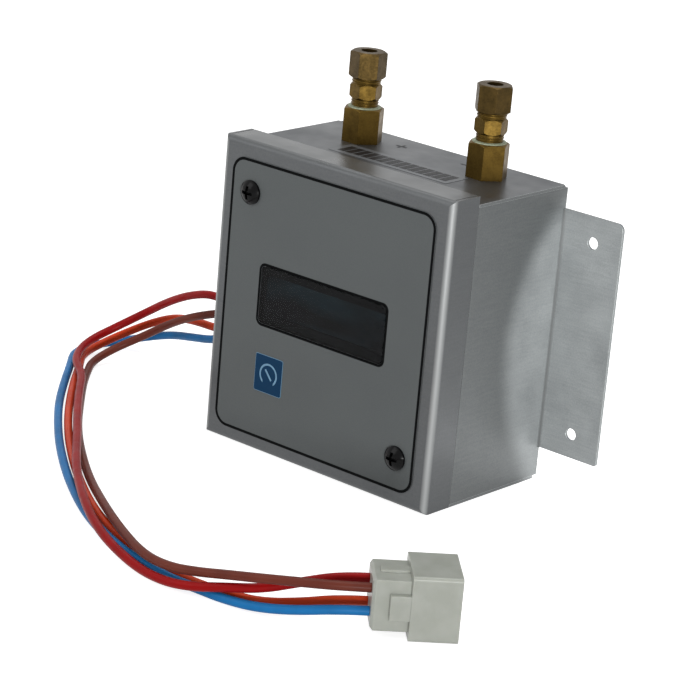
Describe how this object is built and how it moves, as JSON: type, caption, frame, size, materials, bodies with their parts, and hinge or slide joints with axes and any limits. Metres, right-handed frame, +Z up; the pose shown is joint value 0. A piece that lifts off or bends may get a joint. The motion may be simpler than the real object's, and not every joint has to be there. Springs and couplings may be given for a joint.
{
  "type": "differential pressure sensor",
  "caption": "Wall-mounted differential pressure sensor in a folded metal case with display window, brass tube fittings and a plug-ended lead.",
  "frame": {"origin": "middle of the base of the sensor without its lead: halfway between the ear tips, halfway between the screw heads and the rear mounting plane, on the bottom face", "axes": "+X to the right for someone facing the window, +Y to the rear mounting plane, +Z up to the tube fittings"},
  "size_m": [0.2977, 0.1966, 0.1549],
  "materials": {
    "case_metal": "brushed, bare sheet",
    "cover_metal": "satin, bare sheet",
    "overlay_film": "fine textured grey film",
    "print_black": "printed ink",
    "badge_film": "smooth film",
    "badge_blue": "printed ink",
    "window_clear": "clear polycarbonate",
    "screw_black": "black oxide",
    "plated_steel": "zinc plated",
    "board_green": "solder mask",
    "bezel_black": "satin black",
    "display_teal": "dark glass",
    "light_guide": "milky moulded",
    "component_black": "moulded",
    "capacitor_can": "drawn can",
    "trim_blue": "moulded",
    "terminal_green": "moulded",
    "cell_grey": "moulded",
    "tube_clear": "translucent silicone",
    "brass": "machined, slightly dulled",
    "tape_white": "soft sealing tape",
    "washer_fibre": "pressed fibre",
    "grommet_rubber": "matt rubber",
    "wire_red": "PVC insulation",
    "wire_brown": "PVC insulation",
    "wire_orange": "PVC insulation",
    "wire_blue": "PVC insulation",
    "plug_nylon": "translucent natural nylon",
    "pin_tin": "tin plated",
    "ribbon_grey": "flat cable",
    "label_film": "metallised film"
  },
  "bodies": {
    "case": {"chassis": "case_metal", "side_plate_right": "case_metal", "side_plate_left": "case_metal", "front_cover": "cover_metal", "front_overlay": "overlay_film", "overlay_print": "print_black", "badge": "badge_film", "badge_print": "badge_blue", "window_lens": "window_clear", "cover_screws": "screw_black", "cover_standoffs": "plated_steel", "display_studs": "plated_steel", "display_spacers": "plated_steel", "display_nuts": "plated_steel", "display_board": "board_green", "display_bezel": "bezel_black", "display_glass": "display_teal", "display_light_guide": "light_guide", "main_board": "board_green", "board_standoffs": "plated_steel", "board_screws": "plated_steel", "pressure_cell": "cell_grey", "cell_screws": "plated_steel", "board_chips": "component_black", "board_capacitors": "capacitor_can", "trim_pots": "trim_blue", "terminal_block": "terminal_green", "terminal_screws": "plated_steel", "ribbon_sockets": "component_black", "ribbon_cable": "ribbon_grey", "barb_washers": "washer_fibre", "grommet": "grommet_rubber", "lead_tails": "wire_blue", "port_label": "label_film", "label_print": "print_black", "port_marks": "print_black", "plug_housing": "plug_nylon", "plug_pins": "pin_tin", "lead_red": "wire_red", "lead_brown": "wire_brown", "lead_orange": "wire_orange", "lead_blue": "wire_blue", "hose_barb_left": "brass", "sensor_tube_left": "tube_clear", "coupling_left": "brass", "compression_body_left": "brass", "ferrule_left": "brass", "thread_tape_left": "tape_white", "hose_barb_right": "brass", "sensor_tube_right": "tube_clear", "coupling_right": "brass", "compression_body_right": "brass", "ferrule_right": "brass", "thread_tape_right": "tape_white"},
    "nut_left": {"nut_left": "brass"},
    "nut_right": {"nut_right": "brass"}
  },
  "joints": [
    {"name": "nut_left_turn", "type": "hinge", "parent": "case", "child": "nut_left", "pos_m": [-0.0302, 0.01645, 0.1496], "axis": [0, 0, 1], "continuous": true},
    {"name": "nut_right_turn", "type": "hinge", "parent": "case", "child": "nut_right", "pos_m": [0.0324, 0.01645, 0.1496], "axis": [0, 0, 1], "continuous": true}
  ]
}
